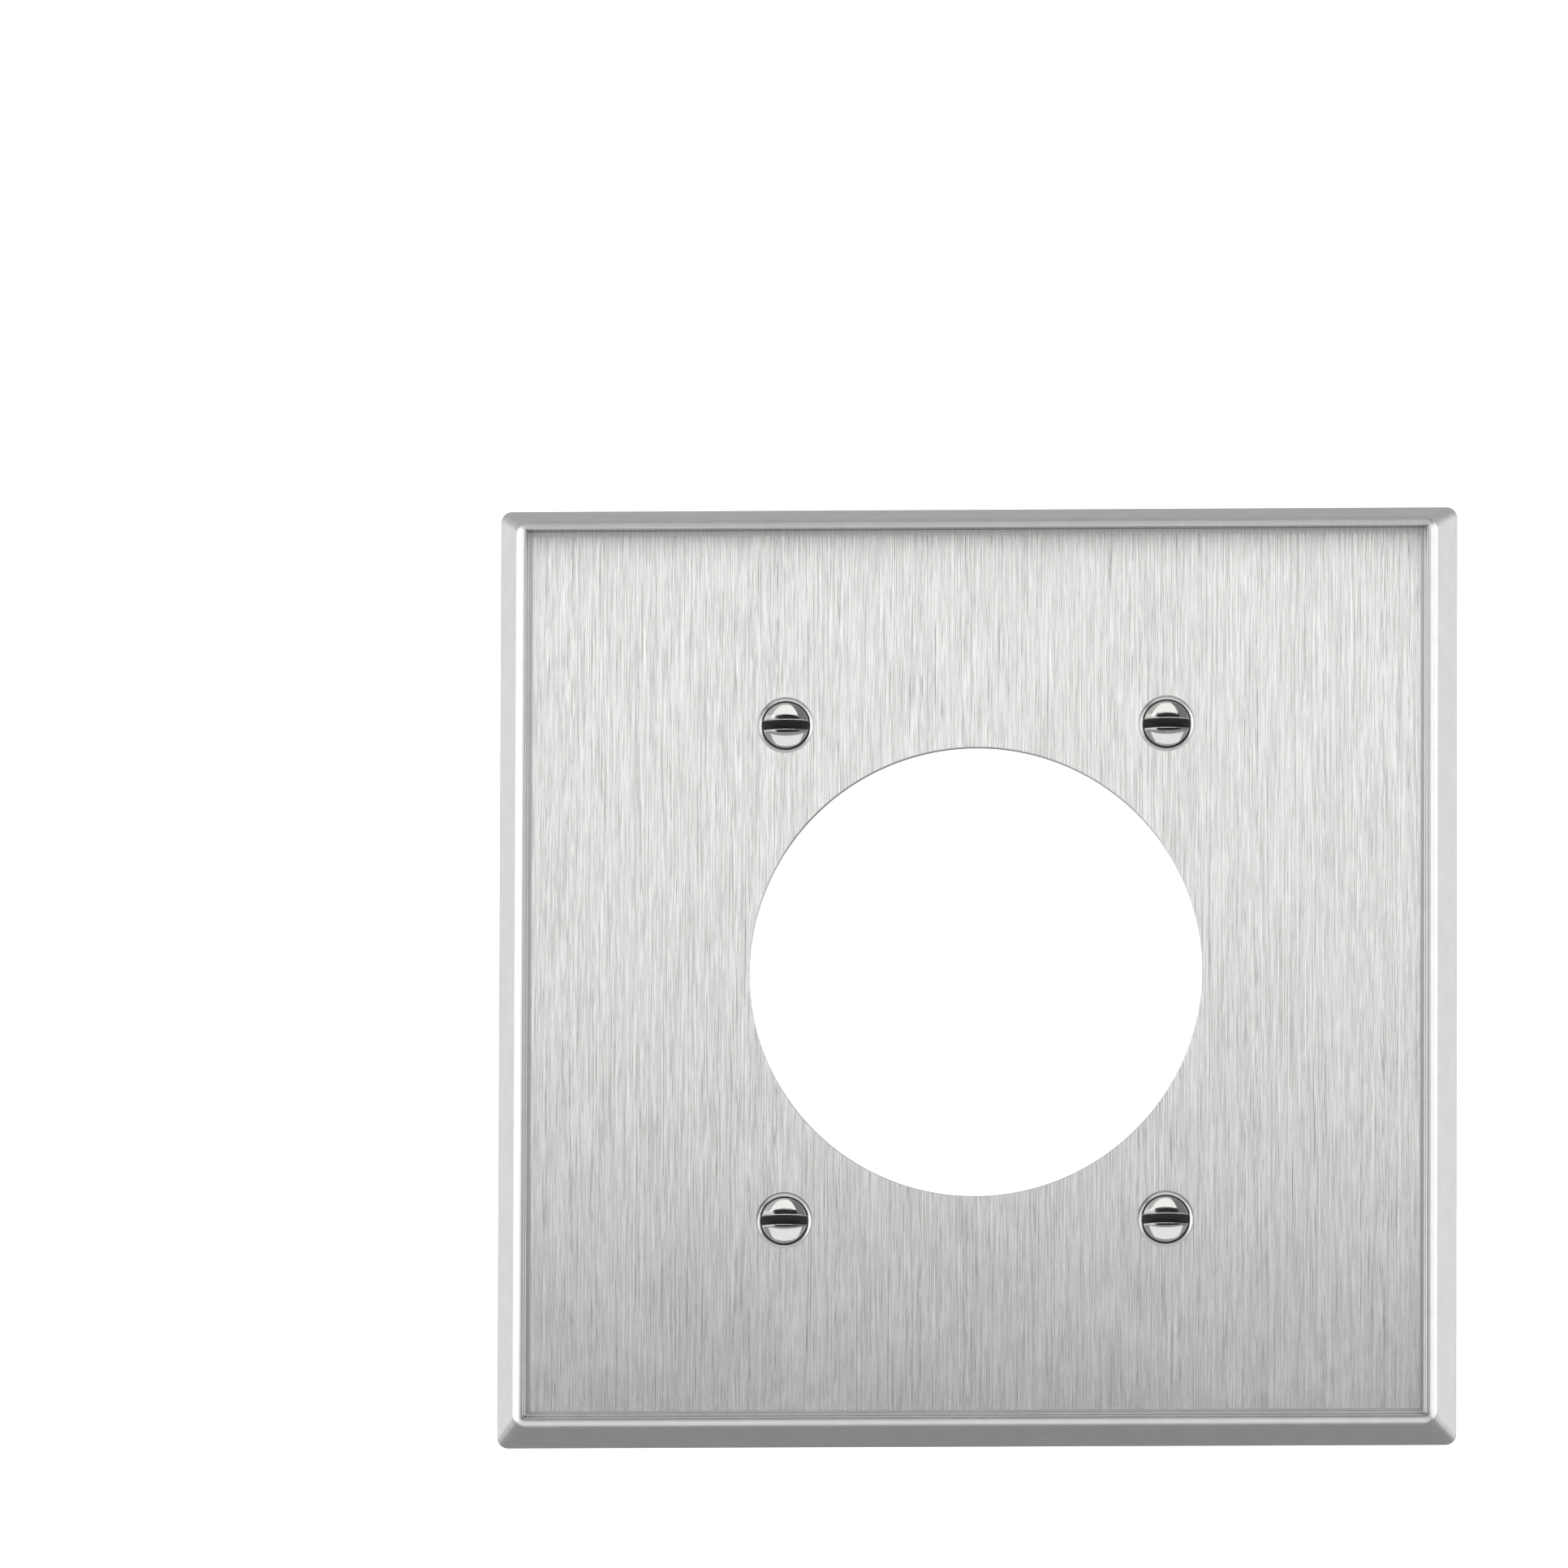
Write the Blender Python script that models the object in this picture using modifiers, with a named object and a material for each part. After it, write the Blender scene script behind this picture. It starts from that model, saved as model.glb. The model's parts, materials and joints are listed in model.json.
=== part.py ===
"""Two-gang stainless steel wall plate for a round power receptacle.

The plate is a shallow pan pressed from sheet steel. Its face looks along -Y, its cut edge
lies on the wall plane, y = 0, and the origin is the centre of the round opening on that
plane. Four slotted oval-head screws sit in pressed dimples, and a nylon retaining washer
behind the plate keeps each screw from falling out.
"""
import math

import bmesh
import bpy

MM = 0.001
INCH = 0.0254

# plate
PLATE_WIDTH = 4.56 * INCH
PLATE_HEIGHT = 4.50 * INCH
PLATE_DEPTH = 5.5 * MM          # wall plane to the top of the rim's crest
SHEET = 0.8 * MM
CORNER_RADIUS = 1.3 * MM
CORNER_SEGMENTS = 5
RIM_WIDTH_SIDE = 3.4 * MM       # outline to the flat face, left and right
RIM_WIDTH_END = 3.0 * MM        # the same, top and bottom
RIM_SLOPE = math.radians(67)    # the bevel's angle to the flat face
CREST_RADIUS = 1.0 * MM
CREST_SEGMENTS = 4
CREST_RISE = 0.4 * MM           # crest above the flat face
CREST_TOP_SHARE = 0.92          # where across the rim the crest is highest
OPENING_DIAMETER = 2.15 * INCH
OPENING_SEGMENTS = 72

# screws: 6-32 UNC, oval head with a narrow trim head, slotted
SCREW_SPACING_X = 1.8125 * INCH
SCREW_SPACING_Z = 2.375 * INCH
THREAD_DIAMETER = 0.138 * INCH
THREAD_PITCH = INCH / 32
SCREW_LENGTH = 0.5 * INCH       # edge of the head to the tip
HEAD_DIAMETER = 5.55 * MM
HEAD_DOME = 1.05 * MM
HEAD_HALF_ANGLE = math.radians(41)
SLOT_WIDTH = 1.0 * MM
SLOT_DEPTH = 1.15 * MM
NECK_DIAMETER = 2.6 * MM
TIP_CHAMFER = 0.45 * MM
SCREW_STEPS = 32
DOME_SEGMENTS = 5

# dimples pressed in the face for the heads
DIMPLE_DIAMETER = 6.6 * MM
DIMPLE_DEPTH = 1.6 * MM         # flat face to the back of the dimple
SCREW_HOLE_DIAMETER = 4.2 * MM
DIMPLE_SEGMENTS = 40

# retaining washers
WASHER_DIAMETER = 6.2 * MM
WASHER_HOLE = 3.2 * MM
WASHER_THICKNESS = 0.5 * MM
TURNS_OUT = 1.75                # turns a screw backs out before its washer meets the dimple

GAP = 0.3 * MM                  # between pieces that touch on the real plate
OVERCUT = 1.0 * MM              # how far a cutter runs past what it cuts
MERGE = 0.01 * MM
SHARP_ANGLE = math.radians(35)

FACE_Y = -(PLATE_DEPTH - CREST_RISE)
DIMPLE_BACK_Y = FACE_Y + DIMPLE_DEPTH
CONE_SLOPE = math.tan(HEAD_HALF_ANGLE)
DIMPLE_MARGIN = (DIMPLE_DIAMETER - HEAD_DIAMETER) / 2
HEAD_EDGE_Y = FACE_Y + (DIMPLE_MARGIN - GAP / math.cos(HEAD_HALF_ANGLE)) / CONE_SLOPE
TRAVEL = TURNS_OUT * THREAD_PITCH
WASHER_FRONT_Y = DIMPLE_BACK_Y + GAP + TRAVEL
WASHER_BACK_Y = WASHER_FRONT_Y + WASHER_THICKNESS
THREAD_START_Y = WASHER_BACK_Y + GAP

SCREW_PLACES = {
    "upper_left": (-SCREW_SPACING_X / 2, SCREW_SPACING_Z / 2),
    "upper_right": (SCREW_SPACING_X / 2, SCREW_SPACING_Z / 2),
    "lower_left": (-SCREW_SPACING_X / 2, -SCREW_SPACING_Z / 2),
    "lower_right": (SCREW_SPACING_X / 2, -SCREW_SPACING_Z / 2),
}


def start_clean():
    for obj in list(bpy.data.objects):
        bpy.data.objects.remove(obj)


def new_collection(name):
    collection = bpy.data.collections.new(name)
    bpy.context.scene.collection.children.link(collection)
    return collection


def new_material(name, colour, metallic, roughness):
    material = bpy.data.materials.new(name)
    material.use_nodes = True
    shader = material.node_tree.nodes["Principled BSDF"]
    shader.inputs["Base Color"].default_value = (*colour, 1.0)
    shader.inputs["Metallic"].default_value = metallic
    shader.inputs["Roughness"].default_value = roughness
    return material


def new_object(name, bm, collection, material=None):
    mesh = bpy.data.meshes.new(name)
    bm.to_mesh(mesh)
    bm.free()
    obj = bpy.data.objects.new(name, mesh)
    collection.objects.link(obj)
    if material:
        mesh.materials.append(material)
    return obj


def new_cutter(name, bm, collection):
    cutter = new_object(name, bm, collection)
    cutter.hide_render = True
    cutter.display_type = "WIRE"
    return cutter


def add_boolean(obj, tool, operation):
    modifier = obj.modifiers.new(tool.name, "BOOLEAN")
    modifier.object = tool
    modifier.operation = operation
    modifier.solver = "EXACT"


def smooth(obj):
    obj.data.shade_smooth()
    obj.data.set_sharp_from_angle(angle=SHARP_ANGLE)


def rim_profile():
    """(share of the rim's width, inward step, y) from the back of the face round to its front."""
    edge = SHEET / math.sin(RIM_SLOPE)
    run = (-FACE_Y - SHEET) / math.tan(RIM_SLOPE)
    profile = [(0.0, edge + run, FACE_Y + SHEET), (0.0, edge, 0.0), (0.0, 0.0, 0.0)]
    for i in range(CREST_SEGMENTS + 1):
        turn = RIM_SLOPE * (1 - i / CREST_SEGMENTS)
        crest_y = -PLATE_DEPTH + CREST_RADIUS * (1 - math.cos(turn))
        profile.append((CREST_TOP_SHARE, -CREST_RADIUS * math.sin(turn), crest_y))
    profile.append((1.0, 0.0, FACE_Y))
    return profile


def make_pan(collection, material):
    """A rounded rectangle, extruded step by step round the section of the rim."""
    bm = bmesh.new()
    bmesh.ops.create_grid(bm, x_segments=1, y_segments=1, size=0.5)
    bmesh.ops.scale(bm, verts=bm.verts, vec=(PLATE_WIDTH, PLATE_HEIGHT, 1))
    bmesh.ops.bevel(
        bm, geom=bm.verts[:], offset=CORNER_RADIUS, segments=CORNER_SEGMENTS, profile=0.5,
        affect="VERTICES", offset_type="OFFSET",
    )
    for v in bm.verts:
        v.co = (v.co.x, 0.0, v.co.y)

    def shrink(verts, side, end, rise):
        for v in verts:
            v.co.x -= side * math.copysign(1, v.co.x)
            v.co.z -= end * math.copysign(1, v.co.z)
            v.co.y += rise

    steps = [
        (share * RIM_WIDTH_SIDE + inward, share * RIM_WIDTH_END + inward, y)
        for share, inward, y in rim_profile()
    ]
    back = face = bm.faces[:][0]
    shrink(face.verts, *steps[0])
    for before, after in zip(steps, steps[1:]):
        made = bmesh.ops.extrude_face_region(bm, geom=[face])
        if face is not back:
            bm.faces.remove(face)
        face = next(part for part in made["geom"] if isinstance(part, bmesh.types.BMFace))
        shrink(face.verts, *(new - old for old, new in zip(before, after)))
    bmesh.ops.recalc_face_normals(bm, faces=bm.faces)
    return new_object("wall_plate", bm, collection, material)


def cone_along_y(front_diameter, back_diameter, front_y, back_y, x, z, segments):
    bm = bmesh.new()
    bmesh.ops.create_cone(
        bm, cap_ends=True, segments=segments, radius1=back_diameter / 2, radius2=front_diameter / 2,
        depth=back_y - front_y,
    )
    # the cone's +Z end turns to face -Y
    for v in bm.verts:
        v.co = (v.co.x + x, (front_y + back_y) / 2 - v.co.z, v.co.y + z)
    return bm


def cut_plate(plate, cutters):
    opening = cone_along_y(
        OPENING_DIAMETER, OPENING_DIAMETER, -PLATE_DEPTH - OVERCUT, OVERCUT, 0, 0, OPENING_SEGMENTS
    )
    add_boolean(plate, new_cutter("opening_cutter", opening, cutters), "DIFFERENCE")
    wall = SHEET / math.cos(HEAD_HALF_ANGLE)
    for place, (x, z) in SCREW_PLACES.items():
        buried_y = FACE_Y + SHEET / 2
        front = DIMPLE_DIAMETER + 2 * wall - 2 * CONE_SLOPE * SHEET / 2
        back = DIMPLE_DIAMETER + 2 * wall - 2 * CONE_SLOPE * DIMPLE_DEPTH
        boss = cone_along_y(front, back, buried_y, DIMPLE_BACK_Y, x, z, DIMPLE_SEGMENTS)
        add_boolean(plate, new_cutter(f"dimple_back_{place}", boss, cutters), "UNION")
        seat_depth = (DIMPLE_DIAMETER - SCREW_HOLE_DIAMETER) / 2 / CONE_SLOPE
        seat_front = DIMPLE_DIAMETER + 2 * CONE_SLOPE * OVERCUT
        seat = cone_along_y(
            seat_front, SCREW_HOLE_DIAMETER, FACE_Y - OVERCUT, FACE_Y + seat_depth, x, z, DIMPLE_SEGMENTS
        )
        add_boolean(plate, new_cutter(f"dimple_seat_{place}", seat, cutters), "DIFFERENCE")
        hole = cone_along_y(
            SCREW_HOLE_DIAMETER, SCREW_HOLE_DIAMETER, FACE_Y, OVERCUT, x, z, DIMPLE_SEGMENTS
        )
        add_boolean(plate, new_cutter(f"screw_hole_{place}", hole, cutters), "DIFFERENCE")


def make_plate(collection, cutters):
    steel = new_material("stainless_steel", (0.62, 0.62, 0.61), 1.0, 0.32)
    plate = make_pan(collection, steel)
    cut_plate(plate, cutters)
    smooth(plate)
    return plate


def turned(name, points, closed, collection, material):
    """A profile at +X, turned about the object's own Z axis."""
    bm = bmesh.new()
    verts = [bm.verts.new((radius, 0, height)) for radius, height in points]
    for a, b in zip(verts, verts[1:]):
        bm.edges.new((a, b))
    if closed:
        bm.edges.new((verts[-1], verts[0]))
    obj = new_object(name, bm, collection, material)
    screw = obj.modifiers.new("turn", "SCREW")
    screw.axis = "Z"
    screw.steps = SCREW_STEPS
    screw.render_steps = SCREW_STEPS
    screw.use_merge_vertices = True
    screw.merge_threshold = MERGE
    screw.use_smooth_shade = True
    # the turning axis points out of the face
    obj.rotation_euler = (math.radians(90), 0, 0)
    return obj


def dome_points():
    """The crown of the head, from its pole to its edge; heights are above the edge."""
    half = HEAD_DIAMETER / 2
    sphere = (half * half + HEAD_DOME * HEAD_DOME) / (2 * HEAD_DOME)
    edge_angle = math.asin(half / sphere)
    angles = [edge_angle * i / DOME_SEGMENTS for i in range(DOME_SEGMENTS + 1)]
    return [(sphere * math.sin(a), sphere * math.cos(a) - sphere + HEAD_DOME) for a in angles]


def screw_points():
    """Heights fall from the crown to the tip, and are 0 at the edge of the head."""
    neck = NECK_DIAMETER / 2
    thread = THREAD_DIAMETER / 2
    neck_top = -(HEAD_DIAMETER / 2 - neck) / CONE_SLOPE
    thread_start = HEAD_EDGE_Y - THREAD_START_Y
    shoulder = thread - neck
    points = dome_points()
    points += [
        (neck, neck_top),
        (neck, thread_start),
        (thread, thread_start - shoulder),
        (thread, -SCREW_LENGTH + TIP_CHAMFER),
        (thread - TIP_CHAMFER, -SCREW_LENGTH),
        (0, -SCREW_LENGTH),
    ]
    return points


def make_screw(place, x, z, collection, cutters, material):
    name = f"screw_{place}"
    obj = turned(name, screw_points(), False, collection, material)
    obj.location = (x, HEAD_EDGE_Y, z)
    bm = bmesh.new()
    bmesh.ops.create_cube(bm, size=1)
    size = (HEAD_DIAMETER + OVERCUT, SLOT_DEPTH + OVERCUT, SLOT_WIDTH)
    bmesh.ops.scale(bm, verts=bm.verts, vec=size)
    middle = HEAD_EDGE_Y - HEAD_DOME + (SLOT_DEPTH - OVERCUT) / 2
    bmesh.ops.translate(bm, verts=bm.verts, vec=(x, middle, z))
    add_boolean(obj, new_cutter(f"slot_{place}", bm, cutters), "DIFFERENCE")
    return obj


def make_washer(place, x, z, collection, material):
    outer = WASHER_DIAMETER / 2
    inner = WASHER_HOLE / 2
    section = [(outer, 0), (outer, -WASHER_THICKNESS), (inner, -WASHER_THICKNESS), (inner, 0)]
    obj = turned(f"retaining_washer_{place}", section, True, collection, material)
    obj.location = (x, WASHER_FRONT_Y, z)
    return obj


def main():
    start_clean()
    parts = new_collection("wall_plate_cover")
    cutters = new_collection("cutters")
    make_plate(parts, cutters)
    for place, (x, z) in SCREW_PLACES.items():
        nickel = new_material(f"polished_nickel_{place}", (0.72, 0.71, 0.69), 1.0, 0.12)
        nylon = new_material(f"natural_nylon_{place}", (0.82, 0.80, 0.72), 0.0, 0.5)
        make_screw(place, x, z, parts, cutters, nickel)
        make_washer(place, x, z, parts, nylon)


main()
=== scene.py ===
import json
from math import acos, atan2, cos, pi, radians, sin, sqrt, tan

import bmesh
import bpy
from mathutils import Matrix, Quaternion, Vector

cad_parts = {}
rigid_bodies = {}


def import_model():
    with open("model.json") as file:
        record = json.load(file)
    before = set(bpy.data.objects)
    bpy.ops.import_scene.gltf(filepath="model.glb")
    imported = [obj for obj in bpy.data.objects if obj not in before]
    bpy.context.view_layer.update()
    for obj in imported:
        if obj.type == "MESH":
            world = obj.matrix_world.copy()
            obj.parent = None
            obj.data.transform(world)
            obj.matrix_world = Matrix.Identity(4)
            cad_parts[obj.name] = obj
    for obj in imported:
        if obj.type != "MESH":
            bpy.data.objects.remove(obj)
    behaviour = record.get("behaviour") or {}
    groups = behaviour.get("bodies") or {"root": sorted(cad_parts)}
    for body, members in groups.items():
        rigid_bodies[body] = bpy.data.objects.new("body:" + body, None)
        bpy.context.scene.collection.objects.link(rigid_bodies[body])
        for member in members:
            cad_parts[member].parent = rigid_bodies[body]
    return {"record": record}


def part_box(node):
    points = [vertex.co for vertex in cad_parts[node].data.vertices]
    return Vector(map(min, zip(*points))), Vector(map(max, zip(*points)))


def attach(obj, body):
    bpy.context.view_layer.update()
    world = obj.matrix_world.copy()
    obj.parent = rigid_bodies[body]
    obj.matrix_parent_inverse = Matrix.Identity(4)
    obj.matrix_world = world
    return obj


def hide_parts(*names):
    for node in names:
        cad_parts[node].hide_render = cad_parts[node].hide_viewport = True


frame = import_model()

# Wall plate cover: a pressed steel plate with its four captive screws.
# The face looks along -Y, the wall is the plane y = 0, and lengths are in metres.

mm = 0.001
scene = bpy.context.scene
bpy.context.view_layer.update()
plateLow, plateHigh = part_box("wall_plate")
places = ("upper_left", "upper_right", "lower_left", "lower_right")
joints = {joint["name"]: joint for joint in frame["record"]["behaviour"]["joints"]}
screwSpots = {place: Vector(joints["turn_" + place]["pos_m"]) for place in places}


# the plate's sizes, which its finishes use too

plate = {
    "cornerRadius": 1.3 * mm,         # at the outer edge
    "tightCorner": 0.3 * mm,          # at the crest and on the face
    "tightFrom": 0.4 * mm,            # the corners are tight from here inwards, measured from the crest
    "cornerBlend": 1.5 * mm,          # the width over which they open out
    "slopeCornerExtra": 0.9 * mm,     # how much fuller they are in the middle of the slope
    "cornerSegments": 12,
    "sheet": 0.8 * mm,
    "crestFromSide": 3.128 * mm,      # crest line to outer edge, left and right
    "crestFromEnd": 2.76 * mm,        # the same at the top and bottom
    "endBlend": 0.92 * mm,            # the ends have their own width up to here, outside the crest
    "crestRise": 0.4 * mm,            # crest above the face
    "crestRadius": 1.35 * mm,         # where the crest turns down the slope
    "crestOutside": 0.662 * mm,       # and how far outside the crest line that is
    "shoulderInside": 0.33 * mm,      # the crest's inner shoulder, from the crest line
    "shoulderRadius": 0.25 * mm,
    "innerSlope": 60.0,               # the crest's side towards the face, in degrees
    "innerRadius": 0.22 * mm,
    "faceEdge": 2.6 * mm,             # where the flat of the face ends, from the crest line
    "dish": 0.004 * mm,               # rise of the face itself next to the crest
    "dishReach": 1.1 * mm,
    "dishRadius": 12 * mm,
    "edgeInset": 0.06 * mm,           # the end of the slope, just off the wall
    "edgeHeight": 0.13 * mm,
    "footWidth": 0.868 * mm,
    "innerWallTop": 2.68 * mm,
    "openingRadius": 27.305 * mm,
    "openingLip": 0.12 * mm,
    "dimpleRadius": 2.985 * mm,       # where the cone would meet the face if its lip weren't rounded
    "dimpleLip": 0.7 * mm,
    "dimpleLipWidth": 0.45 * mm,
    "bossRadius": 2.97 * mm,          # behind each dimple
    "screwHoleRadius": 2.1 * mm,
    "dimpleDepth": 1.6 * mm,
}


def crestLines():
    # half the distance between the crests, left to right and top to bottom
    return plateHigh.x - plate["crestFromSide"], plateHigh.z - plate["crestFromEnd"]


# small helpers for meshes

outOfWall = Matrix.Rotation(radians(90), 4, "X")      # turns local Z to -Y, the way the plate faces


def rounded(corners, segments=6):
    # a line through (a, b, radius) corners, with an arc wherever the radius isn't zero
    points = []
    for i, (a, b, radius) in enumerate(corners):
        corner = Vector((a, b))
        if not radius:
            points.append(corner)
            continue
        back = (Vector(corners[i - 1][:2]) - corner).normalized()
        ahead = (Vector(corners[i + 1][:2]) - corner).normalized()
        half = acos(max(-1.0, min(1.0, back.dot(ahead)))) / 2
        centre = corner + (back + ahead).normalized() * (radius / sin(half))
        start = corner + back * (radius / tan(half)) - centre
        finish = corner + ahead * (radius / tan(half)) - centre
        turn = -start.angle_signed(finish)
        for k in range(segments + 1):
            points.append(centre + Matrix.Rotation(turn * k / segments, 2) @ start)
    return points


def sweep(bm, edges, points, move, material):
    # carries a loop of edges along a section; move(vert, point, last point) places each vertex
    last = points[0]
    for point in points[1:]:
        made = bmesh.ops.extrude_edge_only(bm, edges=edges)["geom"]
        verts = [part for part in made if isinstance(part, bmesh.types.BMVert)]
        for face in (part for part in made if isinstance(part, bmesh.types.BMFace)):
            face.material_index = material
            face.smooth = True
        for vert in verts:
            move(vert, point, last)
        fresh = set(verts)
        edges = list({e for v in verts for e in v.link_edges if e.other_vert(v) in fresh})
        last = point
    return edges


def sweepPair(bm, edges, points, change, move, first, second):
    # one section in two materials, which meet at its point number change
    edges = sweep(bm, edges, points[:change + 1], move, first)
    return sweep(bm, edges, points[change:], move, second)


def fill(bm, edges, material):
    # flat faces between an outer loop and the loops inside it
    made = bmesh.ops.triangle_fill(bm, edges=edges, use_beauty=True, use_dissolve=False, normal=(0, -1, 0))
    for face in (part for part in made["geom"] if isinstance(part, bmesh.types.BMFace)):
        face.material_index = material
        face.smooth = True
    for edge in edges:
        edge.smooth = False


def spinProfile(bm, points, steps):
    # a closed turned shape about local Z from (radius, height) points
    verts = [bm.verts.new((radius, 0, height)) for radius, height in points]
    edges = [bm.edges.new(pair) for pair in zip(verts, verts[1:])]
    bmesh.ops.spin(bm, geom=verts + edges, cent=(0, 0, 0), axis=(0, 0, 1), angle=2 * pi,
                   steps=steps, use_merge=True)
    bmesh.ops.remove_doubles(bm, verts=bm.verts, dist=0.0005 * mm)
    bmesh.ops.recalc_face_normals(bm, faces=bm.faces)
    for face in bm.faces:
        face.smooth = True


def sharpen(bm, degrees=38):
    for edge in bm.edges:
        if len(edge.link_faces) == 2 and edge.calc_face_angle() > radians(degrees):
            edge.smooth = False


def newPiece(name, bm, materials):
    mesh = bpy.data.meshes.new(name)
    bm.to_mesh(mesh)
    bm.free()
    for material in materials:
        mesh.materials.append(material)
    piece = bpy.data.objects.new(name, mesh)
    scene.collection.objects.link(piece)
    return piece


# small helpers for nodes

def add(tree, kind, inputs=(), **settings):
    node = tree.nodes.new("ShaderNode" + kind)
    for key, value in settings.items():
        setattr(node, key, value)
    for key, value in dict(inputs).items():
        if isinstance(value, bpy.types.NodeSocket):
            tree.links.new(value, node.inputs[key])
        else:
            node.inputs[key].default_value = value
    return node


def calc(tree, operation, *values, clamp=False):
    return add(tree, "Math", enumerate(values), operation=operation, use_clamp=clamp).outputs[0]


def ramp(tree, value, low, high, toLow=0.0, toHigh=1.0):
    # a smooth step from one value to another
    inputs = {"Value": value, "From Min": low, "From Max": high, "To Min": toLow, "To Max": toHigh}
    return add(tree, "MapRange", inputs, interpolation_type="SMOOTHSTEP").outputs["Result"]


def noise(tree, vector, scale, detail=2.0, roughness=0.5, dimensions="3D"):
    inputs = {"Vector": vector, "Scale": scale, "Detail": detail, "Roughness": roughness}
    return add(tree, "TexNoise", inputs, noise_dimensions=dimensions).outputs["Fac"]


def objectPoint(tree):
    return add(tree, "TexCoord").outputs["Object"]


def stretched(tree, point, across, along, deep=1.0):
    # the point with each axis in units of its own
    scales = {0: point, 1: (across, deep, along)}
    return add(tree, "VectorMath", scales, operation="MULTIPLY").outputs[0]


def tint(tree, colour, shade):
    # a colour made lighter or darker by a factor
    return add(tree, "VectorMath", {0: colour, "Scale": shade}, operation="SCALE").outputs[0]


def blend(tree, factor, first, second):
    node = add(tree, "Mix", {0: factor}, data_type="RGBA")
    for index, value in ((6, first), (7, second)):
        if isinstance(value, bpy.types.NodeSocket):
            tree.links.new(value, node.inputs[index])
        else:
            node.inputs[index].default_value = (*value, 1)
    return node.outputs[2]


def newGroup(name, inputs, outputs):
    group = bpy.data.node_groups.new(name, "ShaderNodeTree")
    for label, value in inputs.items():
        socket = group.interface.new_socket(label, in_out="INPUT", socket_type="NodeSocketFloat")
        socket.default_value = value
    for label in outputs:
        group.interface.new_socket(label, in_out="OUTPUT", socket_type="NodeSocketFloat")
    return group, group.nodes.new("NodeGroupInput").outputs, group.nodes.new("NodeGroupOutput").inputs


def useGroup(tree, group, **values):
    node = tree.nodes.new("ShaderNodeGroup")
    node.node_tree = group
    for label, value in values.items():
        node.inputs[label].default_value = value
    return node.outputs


# effects that several finishes share

def brushedGrainGroup():
    # upright brush strokes: fine hairs, longer strokes and broad soft clumps
    group, given, put = newGroup(
        "brushed grain", {"Fineness": 5200.0, "Length": 260.0, "Contrast": 1.0}, ("Shade", "Height"))
    point = objectPoint(group)
    axes = add(group, "SeparateXYZ", {0: point}).outputs
    layers = []
    strokes = ((1.0, 1.0, 20.0, 1.0), (0.83, 0.3, 14.0, 0.9), (0.3, 0.7, 6.0, 0.22))
    for across, along, shift, weight in strokes:
        x = calc(group, "MULTIPLY", calc(group, "MULTIPLY", axes["X"], given["Fineness"]), across)
        z = calc(group, "MULTIPLY", calc(group, "MULTIPLY", axes["Z"], given["Length"]), along)
        start = add(group, "TexNoise", {"W": x, "Scale": 0.83, "Detail": 0.0}, noise_dimensions="1D")
        z = calc(group, "MULTIPLY_ADD", start.outputs["Fac"], shift, z)
        place = add(group, "CombineXYZ", {"X": x, "Y": z}).outputs[0]
        value = noise(group, place, 1.0, 3.0, 0.6, "2D")
        layers.append(calc(group, "MULTIPLY", calc(group, "SUBTRACT", value, 0.5), weight))
    total = calc(group, "ADD", calc(group, "ADD", layers[0], layers[1]), layers[2])
    group.links.new(calc(group, "MULTIPLY_ADD", total, given["Contrast"], 1.0), put["Shade"])
    group.links.new(calc(group, "ADD", total, 0.5), put["Height"])
    return group


def handlingGroup():
    # soft cloudy marks that wiping and fingers leave
    group, given, put = newGroup("handling marks", {"Size": 90.0, "Amount": 1.0}, ("Mask",))
    point = objectPoint(group)
    broad = noise(group, point, given["Size"], 3.0, 0.6)
    small = noise(group, point, calc(group, "MULTIPLY", given["Size"], 7.3), 2.0, 0.6)
    cloud = calc(group, "MULTIPLY", ramp(group, broad, 0.38, 0.68), ramp(group, small, 0.3, 0.7))
    group.links.new(calc(group, "MULTIPLY", cloud, given["Amount"]), put["Mask"])
    return group


def scratchGroup():
    # hairline scratches in three directions
    group, given, put = newGroup("hairline scratches", {"Size": 1500.0, "Amount": 1.0}, ("Mask",))
    point = objectPoint(group)
    lines = None
    for turn, offset in ((0.35, 3.0), (1.25, 11.0), (2.3, 23.0)):
        inputs = {"Vector": point, "Rotation": (0, turn, 0), "Location": (offset, 0, 0)}
        turned = add(group, "Mapping", inputs).outputs[0]
        long = stretched(group, turned, 1.0, 0.03)
        value = noise(group, long, given["Size"], 0.0, 0.5)
        away = calc(group, "ABSOLUTE", calc(group, "SUBTRACT", value, 0.5))
        line = ramp(group, away, 0.0, 0.012, 1.0, 0.0)
        thin = noise(group, turned, calc(group, "MULTIPLY", given["Size"], 0.12), 1.0)
        line = calc(group, "MULTIPLY", line, ramp(group, thin, 0.52, 0.7))
        lines = calc(group, "MAXIMUM", lines, line) if lines else line
    group.links.new(calc(group, "MULTIPLY", lines, given["Amount"]), put["Mask"])
    return group


def fastenerGroup():
    # how far from the nearest screw's axis, and how far above or below it, in millimetres
    group, _, put = newGroup("from the nearest screw", {}, ("Radius", "Up"))
    axes = add(group, "SeparateXYZ", {0: objectPoint(group)}).outputs
    spot = screwSpots["upper_right"]
    across = calc(group, "SUBTRACT", calc(group, "ABSOLUTE", axes["X"]), spot.x)
    above = calc(group, "SUBTRACT", calc(group, "ABSOLUTE", axes["Z"]), spot.z)
    across, above = (calc(group, "MULTIPLY", value, 1 / mm) for value in (across, above))
    squares = [calc(group, "MULTIPLY", value, value) for value in (across, above)]
    group.links.new(calc(group, "SQRT", calc(group, "ADD", *squares)), put["Radius"])
    group.links.new(above, put["Up"])
    return group


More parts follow.
